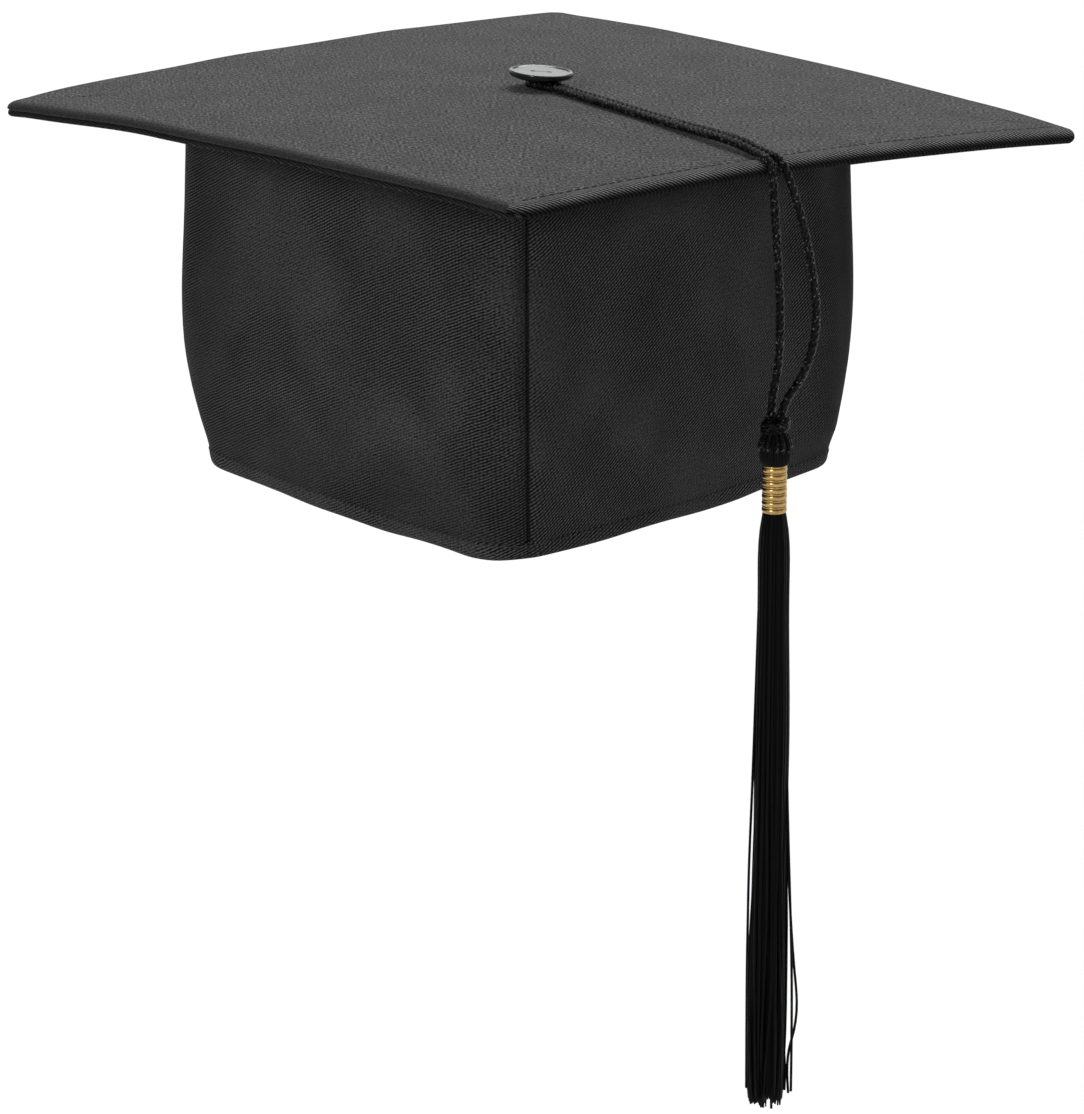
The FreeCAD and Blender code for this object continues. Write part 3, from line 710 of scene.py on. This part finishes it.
def half_outline(height, inset, side):
    """One half of the crown's outline from the front seam to the back seam. side 1 is the right one."""
    quarter = crown_quarter(*station(height), inset)
    back = [Vector((point.x * side, point.y)) for point in quarter]
    front = [Vector((point.x, -point.y)) for point in reversed(back)]
    line = front + back[1:]
    if side == 1:
        return cut_at_seam(line)
    past_nose = 12
    other = [Vector((-point.x, point.y)) for point in line]
    return cut_at_seam(other[past_nose - 1::-1] + line[1:-1] + other[:-past_nose - 1:-1])


def cut_at_seam(line):
    """Cuts a half outline at the seams, which lie beside the noses, straight below the button."""
    kept = []
    for start, end in zip(line, line[1:]):
        if (start.x - BUTTON_AXIS_X) * (end.x - BUTTON_AXIS_X) < 0:
            share = (BUTTON_AXIS_X - start.x) / (end.x - start.x)
            kept.append((start + (end - start) * share, True))
        kept.append((end, False))
    cuts = [index for index, (_, cut) in enumerate(kept) if cut]
    return [point for point, _ in kept[cuts[0]:cuts[-1] + 1]]


def resampled(line, shares):
    """Points at shares of a line's length, and that length."""
    lengths = distances(line)
    total = lengths[-1]
    points = []
    index = 0
    for share in shares:
        target = share * total
        while index < len(line) - 2 and lengths[index + 1] < target:
            index += 1
        span = max(lengths[index + 1] - lengths[index], 1e-9)
        points.append(line[index].lerp(line[index + 1], (target - lengths[index]) / span))
    return points, total


def seam_shares():
    """Shares of a panel's width: close together beside both seams, even between them."""
    near = [0, 0.0012, 0.0026, 0.0044, 0.0068, 0.0098, 0.0135, 0.018, 0.0235, 0.03]
    middle = [0.03 + 0.94 * step / 132 for step in range(1, 132)]
    return near + middle + [1 - share for share in reversed(near)]


def wrinkle(side, along, height):
    """The soft waves of the crown's cloth, in metres outwards, with folds at the side corners."""
    tall = soft_noise(along * 21, height * 6, 3.0 * side)
    broad = soft_noise(along * 9, height * 13, 8.0 * side)
    small = soft_noise(along * 60, height * 34, 5.0 * side)
    fold = soft_noise(along * 48, height * 7, 6.5 * side)
    corner = math.exp(-((along - SIDE_CORNER_ALONG) / (34 * MM)) ** 2)
    depth, outwards = SIDE_FOLDS[side]
    folds = corner * (depth * (fold + outwards))
    return max(0.4 + 0.8 * tall + 0.6 * broad + 0.2 * small + folds, DEEPEST_HOLLOW) * MM


def under_board(point):
    """Height of the board's underside over a point of the cap's frame."""
    x = (point.x - BUTTON_AXIS_X) / math.cos(BOARD_TILT)
    return board_to_cap(x, point.y, -BOARD_THICKNESS).z


def faded(distance, most, near, far):
    return most * (1 - smooth(distance, near, far))


def painted_crown_shade(side, along, to_seam, below_board):
    """Painted shade in the crown's cloth, from 0 to 1: under the board, beside the seams and at the sides.
    """
    corner = math.exp(-((along - SIDE_CORNER_ALONG) / (30 * MM)) ** 2)
    darkness = [
        faded(below_board, *PAINTED_SHADE_UNDER_BOARD),
        faded(below_board, *PAINTED_SHADE_AT_BOARD),
        faded(to_seam, *PAINTED_SHADE_IN_SEAM),
        corner * PAINTED_SHADE_AT_CORNER[side],
    ]
    if side == -1:
        darkness.append(faded(to_seam, *PAINTED_SHADE_BESIDE_LEFT_SEAM))
        darkness.append(0.5 * smooth(below_board, 70 * MM, 108 * MM))
    return max(darkness)


def make_crown_panel(side):
    name = "right" if side == 1 else "left"
    shares = seam_shares()
    rim, width = resampled(half_outline(112 * MM, 0, side), shares)
    tops = [under_board(point) + 0.1 * MM for point in rim]
    rows = [0, 0.01, 0.02, 0.035] + [0.035 + 0.945 * step / 54 for step in range(1, 55)] + [0.99, 1]
    points, cloth, band = [], [], []
    for row in rows:
        height = PANEL_FOOT_Z + row * (sum(tops) / len(tops) - PANEL_FOOT_Z)
        line, length = resampled(half_outline(height, 0, side), shares)
        for column, spot in enumerate(line):
            before = line[max(column - 1, 0)]
            after = line[min(column + 1, len(line) - 1)]
            out = Vector((after.y - before.y, before.x - after.x)).normalized() * side
            along = shares[column] * length
            to_seam = min(along, length - along)
            z = PANEL_FOOT_Z + row * (tops[column] - PANEL_FOOT_Z)
            held = smooth(z, 4 * MM, 16 * MM) * (1 - smooth(z, tops[column] - 6 * MM, tops[column]))
            held *= smooth(to_seam, 0, 10 * MM)
            offset = wrinkle(side, along, z) * held
            offset -= 0.75 * MM * math.exp(-(to_seam / (1.1 * MM)) ** 2)
            offset += 0.3 * MM * math.exp(-((to_seam - 4.5 * MM) / (3 * MM)) ** 2)
            offset -= 0.5 * MM * smooth(z, tops[column] - 2.2 * MM, tops[column])
            spot = spot + out * offset
            points.append(Vector((spot.x, spot.y, z)))
            cloth.append((along * side, z, 0))
            # band's second number carries the painted shade into the crown's colour.
            band.append((0, painted_crown_shade(side, along, to_seam, tops[column] - z), 0))
    faces = grid_faces(len(rows), len(shares))
    piece = new_piece("crown_cloth_" + name, points, faces, side == -1, cloth=cloth, band=band)
    thicken(piece, PANEL_CLOTH)
    material = RIGHT_TWILL if side == 1 else LEFT_TWILL
    finish_piece(piece, "cap", "crown_twill", material, "crown_panel_" + name)


def make_hem(side):
    """A bias strip folded over the crown's rim, a little puffed, its edges turned under."""
    name = "right" if side == 1 else "left"
    shares = [step / 150 for step in range(151)]
    outer, inner = -HEM_CLOTH + 0.3 * MM, WALL_THICKNESS + HEM_CLOTH
    middle, half = (outer + inner) / 2, (inner - outer) / 2
    section = [(inner - 0.5 * MM, HEM_HEIGHT + 0.1 * MM), (inner, HEM_HEIGHT - 0.5 * MM), (inner, 3.2 * MM)]
    for step in range(9):
        turn = math.radians(180) * step / 8
        section.append((middle + half * math.cos(turn), 1.6 * MM * (1 - math.sin(turn))))
    section += [(outer - 0.05 * MM, 2.6 * MM), (outer, 3.6 * MM), (outer + 0.1 * MM, HEM_THREAD_Z)]
    section += [(outer + 0.15 * MM, HEM_HEIGHT - 0.5 * MM), (outer + 0.5 * MM, HEM_HEIGHT + 0.1 * MM)]
    points, cloth = [], []
    across = 0.0
    previous = section[0]
    for inset, height in section:
        across += math.hypot(inset - previous[0], height - previous[1])
        previous = (inset, height)
        line, length = resampled(half_outline(max(height, 0), inset, side), shares)
        for share, spot in zip(shares, line):
            loose = smooth(min(share, 1 - share) * length, 0, 12 * MM)
            loose *= 1 - smooth(height, 2 * MM, HEM_HEIGHT)
            ripple = soft_noise(share * length * 34, 2.0 * side, 0.5) * 0.9 * MM * loose
            points.append(Vector((spot.x, spot.y, height + ripple)))
            cloth.append((share * length * side, across, 0))
    faces = grid_faces(len(section), len(shares))
    piece = new_piece("hem_cloth_" + name, points, faces, side == -1, cloth=cloth)
    thicken(piece, HEM_STRIP)
    material = HEM_TWILL if side == 1 else LEFT_TWILL
    finish_piece(piece, "cap", "hem_twill", material, "hem_binding_" + name)


def make_hem_stitches():
    stitches = []
    for side in (1, -1):
        for inset in (-HEM_CLOTH + 0.35 * MM, WALL_THICKNESS + HEM_CLOTH + 0.05 * MM):
            line = half_outline(HEM_THREAD_Z, inset, side)
            _, length = resampled(line, [0, 1])
            count = int(length / HEM_STITCH_PITCH)
            for index in range(count):
                shares = [(index + 0.14 + 0.72 * step / 5) / count for step in range(6)]
                spots, _ = resampled(line, shares)
                stitches.append([Vector((spot.x, spot.y, HEM_THREAD_Z)) for spot in spots])
    piece = tube_piece("hem_stitches", stitches, 0.13 * MM, 5)
    finish_piece(piece, "cap", "sewing_thread", HEM_THREAD, "hem_topstitch")


# ---- cords ----

def loop_route():
    """From the foot of the straight leg up, round the button's shank and down the bowed leg."""
    def on_board(along, right, height):
        x = along * math.cos(CORD_BEARING) - right * math.sin(CORD_BEARING)
        y = along * math.sin(CORD_BEARING) + right * math.cos(CORD_BEARING)
        return board_to_cap(x * MM, y * MM, height * MM)

    def strand(above, below):
        return [on_board(*local) for local in above] + [Vector(point) * MM for point in below]

    straight = strand(STRAIGHT_STRAND_ON_BOARD, STRAIGHT_STRAND_BELOW)
    return straight[::-1] + strand(BOWED_STRAND_ON_BOARD, BOWED_STRAND_BELOW)


def smooth_line(points, spacing):
    """The NURBS spline that has these points as its control points, as a list of points."""
    curve = bpy.data.curves.new("route", "CURVE")
    curve.dimensions = "3D"
    spline = curve.splines.new("NURBS")
    spline.points.add(len(points) - 1)
    for target, point in zip(spline.points, points):
        target.co = (*point, 1)
    spline.order_u = 3
    spline.use_endpoint_u = True
    spline.resolution_u = 48
    holder = new_object("route", curve)
    bpy.context.view_layer.update()
    mesh = bpy.data.meshes.new_from_object(holder)
    line = [vertex.co.copy() for vertex in mesh.vertices]
    bpy.data.objects.remove(holder)
    steps = round(distances(line)[-1] / spacing)
    return resampled(line, [step / steps for step in range(steps + 1)])[0]


def nearest(line, point):
    return min(range(len(line)), key=lambda index: (line[index] - point).length)


def rope_piece(name, strands, first, last):
    """The twisted strands between two places of the whole cord's line, as one mesh."""
    return tube_piece(name, [strand[first:last + 1] for strand in strands], ROPE_STRAND_R, 9)


def make_loop_cord():
    route = loop_route()
    line = smooth_line(route, ROUTE_STEP)
    strands = twisted_strands(line, 3, ROPE_LAY_R, ROPE_PITCH)
    foot_points = len(STRAIGHT_STRAND_BELOW)
    straight_top = (route[foot_points - 1] + route[foot_points - 2]) / 2
    bowed_start = len(route) - len(BOWED_STRAND_BELOW)
    bowed_top = (route[bowed_start] + route[bowed_start + 1]) / 2
    half = len(line) // 2
    cut_a = nearest(line[:half], straight_top)
    cut_b = half + nearest(line[half:], bowed_top)

    def length(first, end):
        return distances(line[first:end + 1])[-1]

    loop = rope_piece("cord_loop", strands, cut_a, cut_b)
    finish_piece(loop, None, "twisted_cord", CORD_YARN, "loop_cord_top", "loop_cord_bend")
    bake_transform(loop)

    legs = (
        ("cord_leg_straight", 0, cut_a, "loop_leg_straight"),
        ("cord_leg_bowed", cut_b, len(line) - 1, "loop_leg_bowed"),
    )
    for name, first, end, node in legs:
        leg = rope_piece(name, strands, first, end)
        finish_piece(leg, None, "twisted_cord", CORD_YARN, node)
        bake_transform(leg)
        path = line[first:end + 1]
        if name == "cord_leg_straight":
            path = path[::-1]


# ---- tassel ----

def round_axis(radius, angle, height):
    return TASSEL + Vector((radius * math.cos(angle), radius * math.sin(angle), height))


def make_neck_wrap():
    """Turns of a thinner twisted cord round the two legs, uneven as a hand leaves them."""
    turns = 3.3
    steps = 220
    middle = 3.8 * MM
    line = []
    for step in range(steps + 1):
        share = step / steps
        angle = math.tau * turns * share + 0.6
        sway = 0.45 * MM * math.sin(angle + 1.1) + 0.2 * MM * math.sin(2 * angle)
        height = HEAD_TOP_Z + 0.6 * MM + share * (WRAP_TOP_Z - HEAD_TOP_Z - 1.2 * MM) + sway
        line.append(round_axis(middle + 0.18 * MM * math.sin(3.1 * angle), angle, height))
    piece = tube_piece("neck_wrap_cord", twisted_strands(line, 2, 0.36 * MM, 3.0 * MM), 0.396 * MM, 7)
    finish_piece(piece, "tassel", "twisted_cord", CORD_YARN, "neck_wrap")


def node_profile(node):
    """A turned CAD node's largest radius about the tassel's axis at each height, from the foot up."""
    widest = {}
    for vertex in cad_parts[node].data.vertices:
        height = round(vertex.co.z, 5)
        radius = math.hypot(vertex.co.x - TASSEL.x, vertex.co.y - TASSEL.y)
        widest[height] = max(widest.get(height, 0), radius)
    return sorted(widest.items())


def profile_radius(profile, height):
    for (low, low_r), (high, high_r) in zip(profile, profile[1:]):
        if low <= height <= high:
            return low_r + (high_r - low_r) * (height - low) / (high - low)
    return profile[0][1] if height < profile[0][0] else profile[-1][1]


def make_tassel_head():
    """The ball: fine yarn over its whole height, and twisted bundles laid over its upper half."""
    low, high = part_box("tassel_head")
    rows, sides = 28, 40
    ball = [low.z + (high.z - low.z) * step / rows for step in range(rows + 1)]
    foot_r, waist_r, shoulder_r = 3.4 * MM, 4.55 * MM, 2.8 * MM
    waist = 0.42

    def ball_radius(height):
        share = (height - low.z) / (high.z - low.z)
        if share < waist:
            return foot_r + (waist_r - foot_r) * math.sqrt(max(1 - (1 - share / waist) ** 2.4, 0))
        away = min((share - waist) / (1 - waist), 1)
        return shoulder_r + (waist_r - shoulder_r) * (1 - away ** 2.1) ** 0.8

    verts, faces, cloth = [], [], []
    for height in ball:
        for side in range(sides):
            angle = math.tau * side / sides
            verts.append(round_axis(ball_radius(height) - 0.35 * MM, angle, height))
            cloth.append((angle * waist_r, height, 0))
    faces.extend(grid_faces(len(ball), sides, True))
    faces.append(tuple(range(sides - 1, -1, -1)))
    faces.append(tuple(range(rows * sides, (rows + 1) * sides)))
    fine_yarns, bundles = 44, 13
    for index in range(fine_yarns):
        angle = math.tau * index / fine_yarns
        line = []
        for height in ball:
            sway = 0.05 * soft_noise(index * 3.1, height * 180, 0)
            line.append(round_axis(ball_radius(height) - 0.18 * MM, angle + sway, height))
        add_tube(line, 0.34 * MM, 5, verts, faces, cloth)
    bundle_start = len(verts)
    for index in range(bundles):
        angle = math.tau * index / bundles + 0.16 * soft_noise(index * 1.7, 0, 0)
        end = low.z + (4.2 + 2.4 * soft_noise(index * 5.3, 1, 0)) * MM
        line = []
        for step in range(31):
            share = step / 30
            height = high.z + 0.5 * MM + share * (end - high.z - 0.5 * MM)
            dive = 0.9 * MM * smooth(share, 0.8, 1)
            line.append(round_axis(ball_radius(min(height, high.z)) + 0.3 * MM - dive, angle, height))
        for strand in twisted_strands(line, 2, 0.36 * MM, 1.9 * MM, index):
            add_tube(strand, 0.4 * MM, 6, verts, faces, cloth)
    piece = new_piece("tassel_head_yarn", verts, faces, cloth=cloth)
    finish_piece(piece, "tassel", "tassel_yarn", TASSEL_YARN, "tassel_head")
    piece.data.materials.append(CORD_YARN)
    for polygon in piece.data.polygons:
        if polygon.vertices[0] >= bundle_start:
            polygon.material_index = 1


def make_fringe():
    """The hanging strands: packed under the ferrule, looser, leaning and ragged at their cut ends."""
    profile = node_profile("fringe")
    foot = profile[0][0]
    ferrule_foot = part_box("ferrule")[0].z
    top = ferrule_foot + 3 * MM
    golden = math.pi * (3 - math.sqrt(5))
    verts, faces, cloth = [], [], []
    for index in range(FRINGE_STRANDS):
        share = math.sqrt((index + 0.5) / FRINGE_STRANDS)
        angle = index * golden
        seed = index * 2.7
        clump = soft_noise(share * math.cos(angle) * 1.9, share * math.sin(angle) * 1.9, 3)
        cut = foot + (3.2 + 4.5 * clump + FINE.uniform(-0.8, 0.8)) * MM
        cut += FINE.uniform(0, 12) * MM if FINE.random() < 0.08 else 0
        strand_r = FINE.uniform(0.38, 0.5) * MM
        line, radii = [], []
        for step in range(FRINGE_STEPS + 1):
            down = step / FRINGE_STEPS
            height = top + (cut - top) * down
            radius = profile_radius(profile, height) if height < ferrule_foot else NECK_R
            loose = smooth(down, 0.05, 1.0)
            swirl = 0.5 * soft_noise(seed, down * 2.2, 0) * loose
            across = share * max(radius * (1 - 0.13 * loose) - strand_r, 0)
            across *= 1 + 0.12 * soft_noise(seed, down * 3.5, 5) * loose
            point = round_axis(across, angle + swirl, height)
            wander = Vector((soft_noise(seed, down * 4.2, 11), soft_noise(seed, down * 4.2, 23), 0))
            point += wander * (0.8 * MM * loose) - Vector((FRINGE_LEAN * smooth(down, 0.35, 0.9), 0, 0))
            line.append(point)
            radii.append(strand_r * (1 - 0.4 * smooth(down, 0.985, 1)))
        add_tube(line, radii, 5, verts, faces, cloth)
    for stray in STRAY_STRANDS:
        controls = [TASSEL + Vector(point) * MM for point in stray]
        add_tube(smooth_line(controls, 3 * MM), 0.42 * MM, 6, verts, faces, cloth)
    piece = new_piece("fringe_yarn", verts, faces, cloth=cloth)
    finish_piece(piece, "tassel", "tassel_yarn", TASSEL_YARN, "fringe")


# ---- carried-over CAD nodes ----

def dress_cad_nodes():
    looks = {
        "board_core": CORE,
        "crown_stiffener_left": INTERLINING,
        "crown_stiffener_right": INTERLINING,
        "crown_tip": INTERLINING,
        "crown_join_stitch": THREAD_ON_CAD,
        "front_seam_tape": TAPE,
        "back_seam_tape": TAPE,
        "elastic_band": ELASTIC,
        "button": BUTTON_PLASTIC,
        "button_thread": BUTTON_THREAD,
        "ferrule": BRASS,
    }
    for name, material in looks.items():
        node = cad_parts[name]
        node.data.materials.clear()
        node.data.materials.append(material)
        if name in ("button", "ferrule"):
            node.data.shade_smooth()
            node.data.set_sharp_from_angle(angle=math.radians(34))


# ---- studio ----

def make_studio():
    floor_z = -0.62
    size = 30.0
    corners = ((-size, -size), (size, -size), (size, size), (-size, size))
    floor = new_piece("floor", [(x, y, floor_z) for x, y in corners], [(0, 1, 2, 3)])
    floor.data.materials.append(new_material("pale_floor", Roughness=0.9, Base_Color=(*grey(0.88), 1))[0])

    world = bpy.data.worlds.new("studio")
    world.use_nodes = True
    tree = world.node_tree
    place = add_node(tree, "TexCoord").outputs["Generated"]
    height = add_node(tree, "SeparateXYZ", Vector=place).outputs["Z"]
    sky = ramp(tree, height, 0.08, 0.45, 1.0, 0.2, "SMOOTHSTEP")
    tree.links.new(sky, tree.nodes["Background"].inputs["Strength"])
    tree.nodes["Background"].inputs["Color"].default_value = (1, 1, 1, 1)
    bpy.context.scene.world = world

    for name, strength, spread, towards in (
        ("overhead", 3.0, 50, (-0.25, -0.55, -1.0)),
        ("front_left", 0.9, 8, (0.5, 0.85, -0.3)),
    ):
        light = bpy.data.lights.new(name, "SUN")
        light.energy = strength
        light.angle = math.radians(spread)
        lamp = new_object(name, light)
        lamp.rotation_mode = "QUATERNION"
        lamp.rotation_quaternion = Vector(towards).to_track_quat("-Z", "Y")


def make_camera():
    heading, pitch, roll = math.radians(1.9), math.radians(-15.87), math.radians(-0.2)
    level_part = math.cos(pitch)
    ahead = Vector((-math.sin(heading) * level_part, math.cos(heading) * level_part, math.sin(pitch)))
    level = Vector((math.cos(heading), math.sin(heading), 0))
    upright = level.cross(ahead)
    right = level * math.cos(roll) + upright * math.sin(roll)
    up = right.cross(ahead)
    camera_data = bpy.data.cameras.new("camera")
    camera_data.lens = 153.8
    camera_data.sensor_width = 36
    camera_data.clip_end = 100
    camera = new_object("camera", camera_data)
    turned = Matrix((right, up, -ahead)).transposed().to_4x4()
    camera.matrix_world = Matrix.Translation((0.0564, -1.4753, 0.3877)) @ turned
    bpy.context.scene.camera = camera
    bpy.context.scene.view_settings.view_transform = "Standard"


make_camera()
make_loop_cord()
make_covers()
make_board_stitches()
for panel_side in (1, -1):
    make_crown_panel(panel_side)
    make_hem(panel_side)
make_hem_stitches()
make_neck_wrap()
make_tassel_head()
make_fringe()
dress_cad_nodes()
make_studio()
